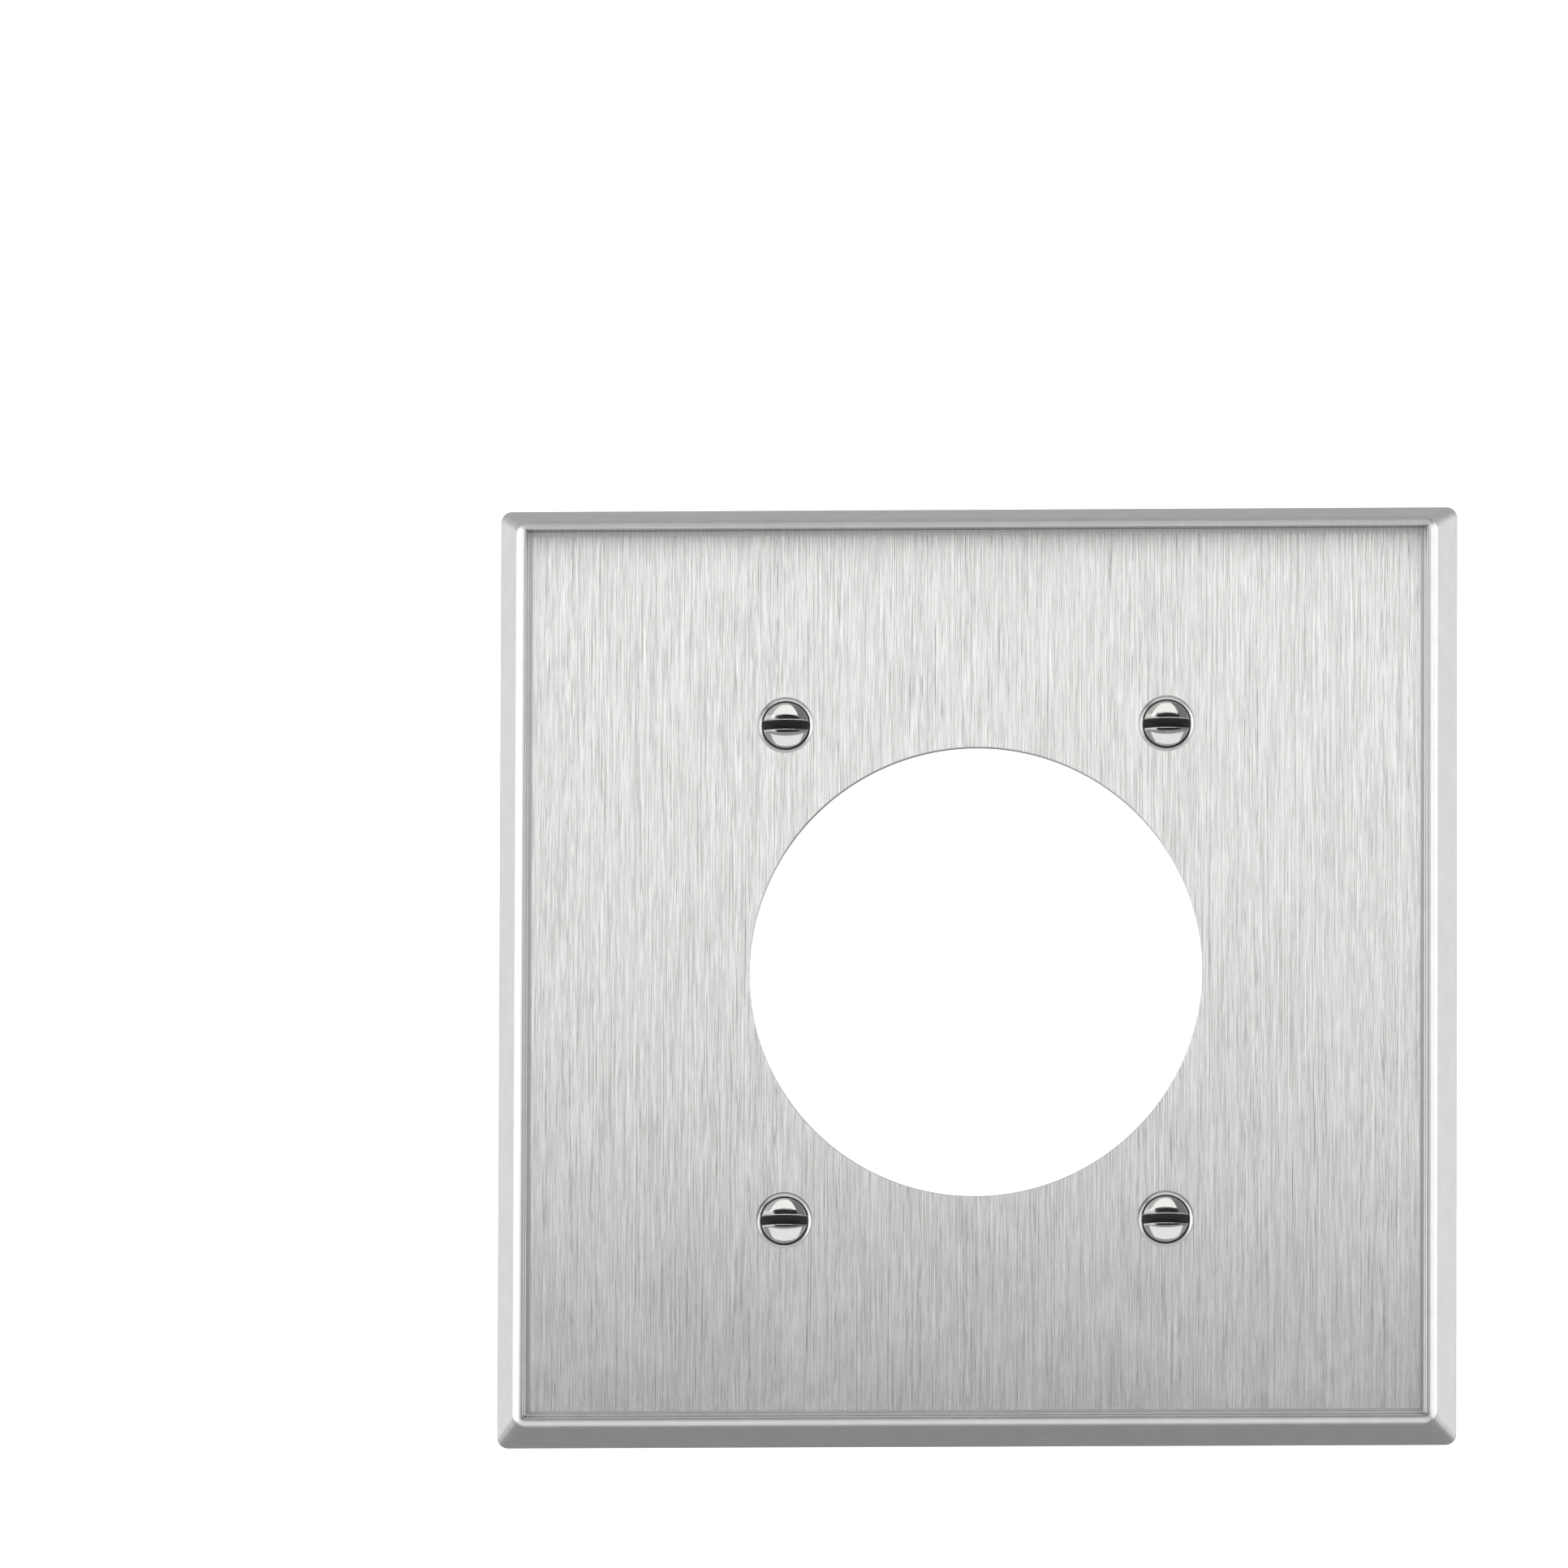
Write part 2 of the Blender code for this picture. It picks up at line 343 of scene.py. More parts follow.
def paintedCrestShadeGroup():
    # painted shade on the face beside the raised crest, streaky and darkest at the top end, standing in for
    # the crest's shadow
    group, given, put = newGroup("short of the rim", {"Top": 0.7, "Side": 0.4, "Bottom": 0.2}, ("Shade",))
    axes = add(group, "SeparateXYZ", {0: objectPoint(group)}).outputs
    uneven = add(group, "TexNoise", {"W": axes["X"], "Scale": 5200.0, "Detail": 3.0}, noise_dimensions="1D")
    uneven = ramp(group, uneven.outputs["Fac"], 0.2, 0.8, 0.7, 1.25)
    side, end = crestLines()
    # for each edge, the distance inwards from its crest and how fast the painted shade fades, in
    # millimetres
    gaps = {
        "Top": (calc(group, "SUBTRACT", end, axes["Z"]), 1.5),
        "Side": (calc(group, "SUBTRACT", side, calc(group, "ABSOLUTE", axes["X"])), 0.8),
        "Bottom": (calc(group, "ADD", end, axes["Z"]), 0.5),
    }
    nearest = calc(group, "MINIMUM", gaps["Top"][0], gaps["Bottom"][0])
    nearest = calc(group, "MINIMUM", nearest, gaps["Side"][0])
    inside = ramp(group, nearest, 0.08 * mm, 0.3 * mm)      # nothing outside the crests
    shade = None
    for label, (gap, reach) in gaps.items():
        beyond = calc(group, "SUBTRACT", calc(group, "MULTIPLY", gap, 1 / mm), 0.5)
        fade = calc(group, "EXPONENT", calc(group, "MULTIPLY", beyond, -1 / reach))
        fade = calc(group, "MULTIPLY", calc(group, "MINIMUM", fade, 1.0), inside)
        if label == "Top":
            fade = calc(group, "MULTIPLY", fade, uneven, clamp=True)
        kept = calc(group, "SUBTRACT", 1.0, calc(group, "MULTIPLY", fade, given[label]))
        shade = calc(group, "MULTIPLY", shade, kept) if shade else kept
    group.links.new(shade, put["Shade"])
    return group


brushedGrain = brushedGrainGroup()
paintedCrestShade = paintedCrestShadeGroup()
handling = handlingGroup()
scratches = scratchGroup()
nearScrew = fastenerGroup()
print("shared effects built")


# finishes

def newFinish(name, colour, **fixed):
    # a material with its shader; numbers that are even all over are set on the shader itself
    material = bpy.data.materials.new(name)
    material.use_nodes = True
    material.diffuse_color = (*colour, 1)
    shader = material.node_tree.nodes["Principled BSDF"]
    shader.inputs["Base Color"].default_value = (*colour, 1)
    for label, value in fixed.items():
        shader.inputs[label.replace("_", " ")].default_value = value
    return material, material.node_tree, shader.inputs


def feed(tree, sockets, colour=None, roughness=None, height=None, depth=0.0):
    if colour is not None:
        tree.links.new(colour, sockets["Base Color"])
    if roughness is not None:
        tree.links.new(roughness, sockets["Roughness"])
    if height is not None:
        bump = add(tree, "Bump", {"Height": height, "Distance": depth, "Strength": 1.0})
        tree.links.new(bump.outputs[0], sockets["Normal"])


steel = {
    "face": (0.72, 0.713, 0.70),
    "rim": (0.66, 0.66, 0.655),
    "back": (0.67, 0.665, 0.655),
    "cut": (0.50, 0.496, 0.49),
    "faceRoughness": 0.31,
    "rimRoughness": 0.31,
    "faceAnisotropy": 0.75,
    "grainFineness": 7600.0,      # strokes about a tenth of a millimetre apart
    "grainLength": 420.0,
    "grainContrast": 2.3,
}


def brushedFaceFinish():
    material, tree, sockets = newFinish("brushed_steel_face", steel["face"], Metallic=1.0,
                                        Anisotropic=steel["faceAnisotropy"])
    grain = useGroup(tree, brushedGrain, Fineness=steel["grainFineness"], Length=steel["grainLength"],
                     Contrast=steel["grainContrast"])
    marks = useGroup(tree, handling, Size=70.0, Amount=1.0)["Mask"]
    # painted shade: the face's colour darkened next to the crest, most at the top
    paintedShade = useGroup(tree, paintedCrestShade, Top=0.74, Side=0.12, Bottom=0.12)["Shade"]
    colour = tint(tree, steel["face"], calc(tree, "MULTIPLY", grain["Shade"], paintedShade))
    rough = calc(tree, "MULTIPLY_ADD", grain["Shade"], -0.06, steel["faceRoughness"] + 0.06)
    rough = calc(tree, "MULTIPLY_ADD", marks, 0.035, rough)
    feed(tree, sockets, colour, rough, grain["Height"], 0.006 * mm)
    tangent = add(tree, "Tangent", direction_type="UV_MAP", uv_map="brushing")
    tree.links.new(tangent.outputs[0], sockets["Tangent"])
    return material


def satinRimFinish():
    material, tree, sockets = newFinish("satin_steel_rim", steel["rim"], Metallic=1.0)
    point = objectPoint(tree)
    fine = noise(tree, point, 4200.0, 2.0)
    marks = useGroup(tree, handling, Size=140.0, Amount=1.0)["Mask"]
    lines = useGroup(tree, scratches, Size=1700.0, Amount=1.0)["Mask"]
    mottle = noise(tree, point, 420.0, 3.0)
    shade = calc(tree, "MULTIPLY_ADD", fine, 0.05, calc(tree, "MULTIPLY_ADD", mottle, 0.16, 0.895))
    shade = calc(tree, "MULTIPLY_ADD", lines, 0.03, shade)
    rough = calc(tree, "MULTIPLY_ADD", fine, 0.06, steel["rimRoughness"])
    rough = calc(tree, "MULTIPLY_ADD", marks, 0.05, rough)
    # painted shade: the crest's inner side darkened, matching the face beside it
    paintedShade = useGroup(tree, paintedCrestShade, Top=0.50, Side=0.36, Bottom=0.14)["Shade"]
    shade = calc(tree, "MULTIPLY", shade, paintedShade)
    feed(tree, sockets, tint(tree, steel["rim"], shade), rough, fine, 0.0008 * mm)
    return material


def coinedFinish():
    material, tree, sockets = newFinish("coined_steel_dimple", steel["rim"], Metallic=1.0)
    near = useGroup(tree, nearScrew)
    fine = noise(tree, objectPoint(tree), 5200.0, 2.0)
    ring = add(tree, "TexNoise", {"W": near["Radius"], "Scale": 11.0, "Detail": 3.0}, noise_dimensions="1D")
    shade = calc(tree, "MULTIPLY_ADD", ring.outputs["Fac"], 0.12, 0.86)
    deep = ramp(tree, near["Radius"], 2.3, 3.2, 0.55, 1.0)      # painted shade: darker towards the hole, in the gap round and under the screw head
    shade = calc(tree, "MULTIPLY", shade, deep)
    rough = calc(tree, "MULTIPLY_ADD", fine, 0.10, 0.20)
    feed(tree, sockets, tint(tree, steel["rim"], shade), rough, ring.outputs["Fac"], 0.005 * mm)
    return material


def millBackFinish():
    material, tree, sockets = newFinish("mill_steel_back", steel["back"], Metallic=1.0)
    point = objectPoint(tree)
    mottle = noise(tree, point, 900.0, 4.0, 0.65)
    rolled = noise(tree, stretched(tree, point, 1.0, 0.04), 2600.0, 2.0)
    marks = useGroup(tree, handling, Size=55.0, Amount=1.0)["Mask"]
    lines = useGroup(tree, scratches, Size=900.0, Amount=1.0)["Mask"]
    shade = calc(tree, "MULTIPLY_ADD", mottle, 0.16, 0.90)
    shade = calc(tree, "MULTIPLY_ADD", rolled, 0.12, calc(tree, "SUBTRACT", shade, 0.04))
    shade = calc(tree, "MULTIPLY_ADD", lines, 0.14, shade)
    rough = calc(tree, "MULTIPLY_ADD", mottle, 0.16, 0.27)
    rough = calc(tree, "MULTIPLY_ADD", marks, 0.10, rough)
    height = calc(tree, "MULTIPLY_ADD", lines, -0.6, calc(tree, "ADD", mottle, rolled))
    feed(tree, sockets, tint(tree, steel["back"], shade), rough, height, 0.008 * mm)
    return material


def shearedEdgeFinish():
    # bright burnished band next to the face, torn grey metal behind it
    material, tree, sockets = newFinish("sheared_steel_edge", steel["cut"], Metallic=1.0)
    point = objectPoint(tree)
    depth = add(tree, "SeparateXYZ", {0: point}).outputs["Y"]
    wander = noise(tree, point, 1200.0, 2.0)
    level = calc(tree, "MULTIPLY_ADD", wander, 0.2 * mm, depth)
    torn = ramp(tree, level, plateLow.y + 0.72 * mm, plateLow.y + 0.86 * mm)
    lines = noise(tree, stretched(tree, point, 1.0, 1.0, 0.06), 9000.0, 2.0)
    grit = noise(tree, point, 6500.0, 3.0, 0.6)
    shade = calc(tree, "MULTIPLY_ADD", lines, 0.3, 0.8)
    shade = calc(tree, "MULTIPLY", shade, calc(tree, "MULTIPLY_ADD", torn, -0.3, 1.0))
    rough = calc(tree, "MULTIPLY_ADD", torn, 0.25, 0.25)
    rough = calc(tree, "MULTIPLY_ADD", grit, 0.12, rough)
    height = calc(tree, "ADD", lines, calc(tree, "MULTIPLY", grit, torn))
    feed(tree, sockets, tint(tree, steel["cut"], shade), rough, height, 0.012 * mm)
    return material


nickel = {
    "dome": (0.80, 0.79, 0.775),
    "shank": (0.62, 0.60, 0.57),
    # painted shade: the dark colour of the slot's floor and walls
    "paintedSlotShade": (0.23, 0.225, 0.22),
    "domeRoughness": 0.055,
}


def polishedNickelFinish():
    material, tree, sockets = newFinish("polished_nickel_dome", nickel["dome"], Metallic=1.0)
    near = useGroup(tree, nearScrew)
    point = objectPoint(tree)
    lines = useGroup(tree, scratches, Size=5200.0, Amount=1.0)["Mask"]
    haze = noise(tree, point, 1900.0, 3.0)
    # plating wears on the slot's lips and round the head's edge
    lip = ramp(tree, calc(tree, "ABSOLUTE", near["Up"]), 0.56, 0.72, 1.0, 0.0)
    edge = ramp(tree, near["Radius"], 2.55, 2.76)
    worn = calc(tree, "MAXIMUM", lip, edge)
    rough = calc(tree, "MULTIPLY_ADD", haze, 0.05, nickel["domeRoughness"] - 0.025)
    rough = calc(tree, "MULTIPLY_ADD", worn, 0.07, calc(tree, "MULTIPLY_ADD", lines, 0.10, rough))
    shade = calc(tree, "MULTIPLY_ADD", worn, -0.06, calc(tree, "MULTIPLY_ADD", haze, 0.06, 0.97))
    feed(tree, sockets, tint(tree, nickel["dome"], shade), rough, lines, -0.0012 * mm)
    return material


def recessFinish():
    # the slot's floor and walls: milled and rough, with a dark colour that is painted shade for the deep
    # slot
    material, tree, sockets = newFinish("dull_nickel_slot", nickel["paintedSlotShade"], Metallic=1.0)
    point = objectPoint(tree)
    milled = noise(tree, stretched(tree, point, 0.05, 1.0), 16000.0, 2.0)
    grit = noise(tree, point, 7000.0, 3.0)
    shade = calc(tree, "MULTIPLY_ADD", milled, 0.5, calc(tree, "MULTIPLY_ADD", grit, 0.4, 0.55))
    rough = calc(tree, "MULTIPLY_ADD", grit, 0.25, 0.30)
    feed(tree, sockets, tint(tree, nickel["paintedSlotShade"], shade), rough, milled, 0.01 * mm)
    return material


def threadFinish():
    # plated thread, its colour lighter on the crests and darker in the roots
    material, tree, sockets = newFinish("nickel_thread", nickel["shank"], Metallic=1.0)
    near = useGroup(tree, nearScrew)
    point = objectPoint(tree)
    grit = noise(tree, point, 5200.0, 3.0)
    crest = ramp(tree, near["Radius"], 1.34, 1.70)
    shade = calc(tree, "MULTIPLY_ADD", crest, 0.42, 0.66)
    shade = calc(tree, "MULTIPLY_ADD", grit, 0.16, calc(tree, "SUBTRACT", shade, 0.08))
    rough = calc(tree, "MULTIPLY_ADD", crest, -0.14, calc(tree, "MULTIPLY_ADD", grit, 0.12, 0.30))
    feed(tree, sockets, tint(tree, nickel["shank"], shade), rough, grit, 0.006 * mm)
    return material


nylon = {
    "even": (0.87, 0.85, 0.79),
    "pale": (0.91, 0.895, 0.845),
    "yellowed": (0.82, 0.79, 0.71),
    "soiled": (0.50, 0.47, 0.42),
}


def nylonFinish():
    material, tree, sockets = newFinish("natural_nylon_washer", nylon["even"], Subsurface_Weight=0.25,
                                        Subsurface_Scale=0.6 * mm, Specular_IOR_Level=0.45)
    point = objectPoint(tree)
    mottle = noise(tree, point, 700.0, 3.0)
    skin = noise(tree, point, 9000.0, 2.0)
    marks = useGroup(tree, handling, Size=420.0, Amount=1.0)["Mask"]
    colour = blend(tree, ramp(tree, mottle, 0.3, 0.7), nylon["pale"], nylon["yellowed"])
    colour = blend(tree, calc(tree, "MULTIPLY", marks, 0.35), colour, nylon["soiled"])
    rough = calc(tree, "MULTIPLY_ADD", skin, 0.18, 0.40)
    feed(tree, sockets, colour, rough, skin, 0.012 * mm)
    return material


brushedFace = brushedFaceFinish()
satinRim = satinRimFinish()
coinedDimple = coinedFinish()
millBack = millBackFinish()
shearedEdge = shearedEdgeFinish()
polishedNickel = polishedNickelFinish()
paintedShadeSlot = recessFinish()
nickelThread = threadFinish()
naturalNylon = nylonFinish()
print("finishes built:", len(bpy.data.materials))


# the plate

def rimSections(face, back):
    # (inset from the outer edge, y): the face's dished edge, the raised rim, the foot and the inner wall
    crest, top = plate["crestFromSide"], plateLow.y
    dish, reach = plate["dish"], plate["dishReach"]
    shoulder = crest + plate["shoulderInside"]
    inner = shoulder + (plate["crestRise"] - dish) / tan(radians(plate["innerSlope"]))
    dished = rounded([(crest + plate["faceEdge"], face, 0), (inner + reach, face, plate["dishRadius"]),
                      (inner, face - dish, 0)], 6)
    raised = rounded([(inner + reach / 2, face - dish / 2, 0),
                      (inner, face - dish, plate["innerRadius"]),
                      (shoulder, top, plate["shoulderRadius"]),
                      (crest - plate["crestOutside"], top, plate["crestRadius"]),
                      (plate["edgeInset"], -plate["edgeHeight"], 0)], 8)
    foot = rounded([(plate["edgeInset"], -plate["edgeHeight"], 0), (0, 0, 0.06 * mm), (0.4 * mm, 0, 0)], 4)
    inside = rounded([(foot[-2].x, 0, 0), (plate["footWidth"], 0, 0.05 * mm),
                      (plate["innerWallTop"], back, 0.45 * mm),
                      (plate["innerWallTop"] + 0.9 * mm, back, 0)], 6)
    return dished, raised, foot[:-1], inside


def openingSection(face, back):
    # (radius, y) over the opening's lip, along its sheared wall and round its back corner
    radius = plate["openingRadius"]
    return rounded([(radius + plate["openingLip"], face, 0), (radius, face, 0.11 * mm),
                    (radius, back, 0.04 * mm), (radius + 0.3 * mm, back, 0)], 6)


def dimpleSection(face, back):
    # (radius, y) over a dimple's lip, down its cone, through the punched hole and over the boss behind
    hole, lip, deep = plate["screwHoleRadius"], plate["dimpleRadius"], face + plate["dimpleDepth"]
    return rounded([(lip + plate["dimpleLipWidth"], face, 0), (lip, face, plate["dimpleLip"]),
                    (hole, deep, 0.05 * mm), (plate["bossRadius"], deep, 0.10 * mm),
                    (3.665 * mm, back, 0.30 * mm), (4.2 * mm, back, 0)], 8)


def endInset(inset):
    # the ends of the plate have a steeper, narrower slope than the sides
    spare = plate["crestFromSide"] - plate["crestFromEnd"]
    return inset - spare * min(1.0, inset / (plate["crestFromSide"] - plate["endBlend"]))


def cornerRadius(inset):
    # full corners on the slope, tight ones at the crest and on the face
    crest, tight = plate["crestFromSide"], plate["tightCorner"]
    spread = min(1.0, max(0.0, (crest + plate["tightFrom"] - inset) / plate["cornerBlend"]))
    fuller = plate["slopeCornerExtra"] * sin(pi * min(1.0, inset / (0.8 * crest)))
    return tight + (plate["cornerRadius"] - tight) * sin(spread * pi / 2) + fuller


def moveRim(vert, point, last):
    before, after = cornerRadius(last.x), cornerRadius(point.x)
    for axis, half, inset in ((0, plateHigh.x, float), (2, plateHigh.z, endInset)):
        side = 1 if vert.co[axis] > 0 else -1
        spread = (side * vert.co[axis] - (half - inset(last.x) - before)) / before
        vert.co[axis] = side * (half - inset(point.x) - after + after * spread)
    vert.co.y = point.y


def moveInnerWall(vert, point, last):
    step = point - last
    vert.co.x -= (1 if vert.co.x > 0 else -1) * step.x
    vert.co.z -= (1 if vert.co.z > 0 else -1) * step.x
    vert.co.y = point.y


def ringMover(centre):
    # for round loops: the point is (radius, y) about a centre
    def move(vert, point, last):
        vert.co = centre + (vert.co - centre) * (point.x / last.x)
        vert.co.y = point.y
    return move


def roundLoop(bm, centre, radius, y, segments):
    place = Matrix.Translation((centre.x, y, centre.z)) @ outOfWall
    made = bmesh.ops.create_circle(bm, cap_ends=False, radius=radius, segments=segments, matrix=place)
    return list({edge for vert in made["verts"] for edge in vert.link_edges})


def outlineLoop(bm, insetSide, insetEnd, y, radius):
    # a rounded rectangle of edges
    width = plateHigh.x - plateLow.x - 2 * insetSide
    height = plateHigh.z - plateLow.z - 2 * insetEnd
    place = Matrix.Translation((0, y, 0)) @ outOfWall @ Matrix.Diagonal((width, height, 1, 1))
    corners = bmesh.ops.create_grid(bm, x_segments=1, y_segments=1, size=0.5, matrix=place)["verts"]
    bmesh.ops.bevel(bm, geom=corners, offset=radius, offset_type="OFFSET", profile=0.5,
                    segments=plate["cornerSegments"], affect="VERTICES", material=-1)
    bmesh.ops.delete(bm, geom=bm.faces[:], context="FACES_ONLY")
    return bm.edges[:]


def buildPlate():
    bm = bmesh.new()
    face = plateLow.y + plate["crestRise"]
    back = face + plate["sheet"]
    dished, raised, foot, inside = rimSections(face, back)
    wall, cone = openingSection(face, back), dimpleSection(face, back)
    faceMaterial, rimMaterial, coined, mill, cut = range(5)
    middle = Vector((0, 0, 0))

    start = dished[0]
    rim = outlineLoop(bm, start.x, endInset(start.x), face, cornerRadius(start.x))
    opening = roundLoop(bm, middle, wall[0].x, face, 192)
    dimples = {place: roundLoop(bm, spot, cone[0].x, face, 72) for place, spot in screwSpots.items()}
    fill(bm, rim + opening + [edge for loop in dimples.values() for edge in loop], faceMaterial)

    # a change of material comes at the foot's inner corner, half way round the opening's lip, and
    # where the punch left the hole
    rim = sweep(bm, rim, dished[:-1] + raised[:1], moveRim, faceMaterial)
    rim = sweep(bm, rim, raised, moveRim, rimMaterial)
    rim = sweep(bm, rim, foot, moveRim, cut)
    rim = sweepPair(bm, rim, inside, 7, moveInnerWall, cut, mill)
    opening = sweepPair(bm, opening, wall, 4, ringMover(middle), coined, cut)
    for place, spot in screwSpots.items():
        dimples[place] = sweepPair(bm, dimples[place], cone, 18, ringMover(spot), coined, mill)

    fill(bm, rim + opening + [edge for loop in dimples.values() for edge in loop], mill)
    bmesh.ops.remove_doubles(bm, verts=bm.verts, dist=0.0005 * mm)
    bmesh.ops.recalc_face_normals(bm, faces=bm.faces)
    sharpen(bm, 50)

    # a flat map over the plate, which turns the sheen along the brushing
    layer = bm.loops.layers.uv.new("brushing")
    span = 120 * mm
    for corner in (corner for side in bm.faces for corner in side.loops):
        corner[layer].uv = (corner.vert.co.x / span + 0.5, corner.vert.co.z / span + 0.5)
    return newPiece("cover_plate", bm, (brushedFace, satinRim, coinedDimple, millBack, shearedEdge))


coverPlate = buildPlate()
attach(coverPlate, "wall_plate")
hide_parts("wall_plate")
print("plate built:", len(coverPlate.data.polygons), "faces")


# the screws

screw = {
    "headRadius": 2.775 * mm,
    "edgeRadius": 0.035 * mm,
    "domeRise": 1.05 * mm,
    "domeRows": 26,
    "coneHalfAngle": 41.0,
    "neckRadius": 1.3 * mm,
    "neckFillet": 0.3 * mm,
    "neckEnd": 3.942 * mm,
    "length": 12.7 * mm,
    "crestRadius": 1.7525 * mm,
    "rootRadius": 1.275 * mm,
    "pitch": 0.79375 * mm,
    "tipRadius": 1.25 * mm,           # where the thread runs out at the tip
    "slotHalfWidth": 0.5 * mm,
    "slotFloor": -0.10 * mm,          # from the plane of the head's edge
    "slotLip": 0.24 * mm,
    "rowsPerPitch": 14,
    "steps": 96,
}


def screwProfile():
    # (radius, height) from the top of the dome to the tip, height 0 at the head's edge
    edge, rise = screw["headRadius"], screw["domeRise"]
    ball = (edge ** 2 + rise ** 2) / (2 * rise)
    reach = acos((ball - rise) / ball)
    rows = screw["domeRows"]
    turns = [reach * k / rows for k in range(rows)]
    points = [(ball * sin(turn), rise - ball * (1 - cos(turn))) for turn in turns]
    slant, floor = tan(radians(screw["coneHalfAngle"])), screw["slotFloor"]
    neck, neckEnd, length = screw["neckRadius"], screw["neckEnd"], screw["length"]
    belowEdge = (edge + floor * slant, floor, 0)
    rim = rounded([points[-1] + (0,), (edge, 0, screw["edgeRadius"]), belowEdge], 3)
    cone = rounded([belowEdge, (neck, (neck - edge) / slant, screw["neckFillet"]), (neck, -neckEnd, 0)], 5)
    points += [tuple(point) for point in rim[1:] + cone[1:]]
    rows = round((length - neckEnd) / screw["pitch"] * screw["rowsPerPitch"])
    points += [(neck, -neckEnd - (length - neckEnd) * k / rows) for k in range(1, rows + 1)]
    return points + [(0.6 * neck, -length), (0, -length)]


def cutThread(bm):
    # raises a right-hand thread on the shank; it fades in at the neck and off at the tip
    first, last, neck = screw["neckEnd"], screw["length"], screw["neckRadius"]
    root, crest, pitch = screw["rootRadius"], screw["crestRadius"], screw["pitch"]
    hair = 0.001 * mm
    for vert in bm.verts:
        depth = -vert.co.z
        radius = Vector(vert.co.xy).length
        if depth < first + hair or depth > last - hair or radius < 0.9 * neck:
            continue
        phase = (vert.co.z / pitch - atan2(vert.co.y, vert.co.x) / (2 * pi)) % 1.0
        flank = min(1.0, max(0.0, (1 - abs(2 * phase - 1)) * 1.34 - 0.17))
        height = root + (crest - root) * flank
        limit = min(neck + (depth - first), screw["tipRadius"] + (last - depth) * 1.1, crest)
        vert.co.xy = vert.co.xy * (min(height, max(limit, root * 0.98)) / radius)


def cutSlot(bm):
    # cuts the dome along local X, rounds the slot's lips, and closes its walls and floor
    half, lip, floor = screw["slotHalfWidth"], screw["slotLip"], screw["slotFloor"]
    hair = 0.001 * mm
    for side in (1, -1):
        for step in (0.0, 0.134, 0.5, 1.0):      # at equal turns round the lip
            head = [face for face in bm.faces if min(v.co.z for v in face.verts) > floor - hair]
            head += list({e for f in head for e in f.edges}) + list({v for f in head for v in f.verts})
            place = (0, side * (half + lip * step), 0)
            bmesh.ops.bisect_plane(bm, geom=head, dist=0.0002 * mm, plane_co=place, plane_no=(0, 1, 0))
    inside = [face for face in bm.faces
              if abs(face.calc_center_median().y) < half and face.calc_center_median().z > floor]
    bmesh.ops.delete(bm, geom=inside, context="FACES")
    for vert in bm.verts:
        out = abs(vert.co.y) - half
        if vert.co.z > floor + hair and out < lip:
            drop = lip - sqrt(max(0.0, lip ** 2 - (lip - max(0.0, out)) ** 2))
            vert.co.z = max(floor, vert.co.z - drop)
    rims = [edge for edge in bm.edges if edge.is_boundary
            and all(abs(abs(vert.co.y) - half) < hair for vert in edge.verts)]
    walls = bmesh.ops.extrude_edge_only(bm, edges=rims)["geom"]
    for part in walls:
        if isinstance(part, bmesh.types.BMVert):
            part.co.z = floor
        if isinstance(part, bmesh.types.BMFace):
            part.material_index = 1
    bmesh.ops.remove_doubles(bm, verts=bm.verts, dist=0.0005 * mm)
    edges = [edge for edge in bm.edges if edge.is_boundary]
    made = bmesh.ops.triangle_fill(bm, edges=edges, use_beauty=True, use_dissolve=False, normal=(0, 0, 1))
    for part in made["geom"]:
        if isinstance(part, bmesh.types.BMFace):
            part.material_index = 1


def buildScrew(place):
    bm = bmesh.new()
    spinProfile(bm, screwProfile(), screw["steps"])
    cutThread(bm)
    cutSlot(bm)
    for face in bm.faces:
        if face.material_index == 0 and face.calc_center_median().z < -0.3 * mm:
            face.material_index = 2
    bmesh.ops.dissolve_degenerate(bm, dist=0.0004 * mm, edges=bm.edges)
    bmesh.ops.recalc_face_normals(bm, faces=bm.faces)
    sharpen(bm)
    spot = Matrix.Translation(screwSpots[place]) @ outOfWall
    bmesh.ops.transform(bm, matrix=spot, verts=bm.verts)
    return newPiece(place + "_screw", bm, (polishedNickel, paintedShadeSlot, nickelThread))


for place in places:
    piece = buildScrew(place)
    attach(piece, "screw_" + place)
    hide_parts("screw_" + place)
print("screws built:", len(piece.data.polygons), "faces each")


# the washers that hold the screws in the plate

washer = {
    "outerRadius": 3.1 * mm,
    "holeRadius": 1.6 * mm,
    "edgeRadius": 0.12 * mm,
    "steps": 96,
}


def buildWasher(place):
    low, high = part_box("retaining_washer_" + place)
    half = (high.y - low.y) / 2
    inner, outer, edge = washer["holeRadius"], washer["outerRadius"], washer["edgeRadius"]
    middle = (inner + outer) / 2
    section = rounded([(middle, half, 0), (outer, half, edge), (outer, -half, edge), (inner, -half, edge),
                       (inner, half, edge), (middle, half, 0)], 5)
    bm = bmesh.new()
    spinProfile(bm, [tuple(point) for point in section], washer["steps"])
    spot = Matrix.Translation((low + high) / 2) @ outOfWall
    bmesh.ops.transform(bm, matrix=spot, verts=bm.verts)
    return newPiece(place + "_washer", bm, (naturalNylon,))


for place in places:
    piece = buildWasher(place)
    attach(piece, "washer_" + place)
    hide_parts("retaining_washer_" + place)
print("washers built:", len(piece.data.polygons), "faces each")


# studio

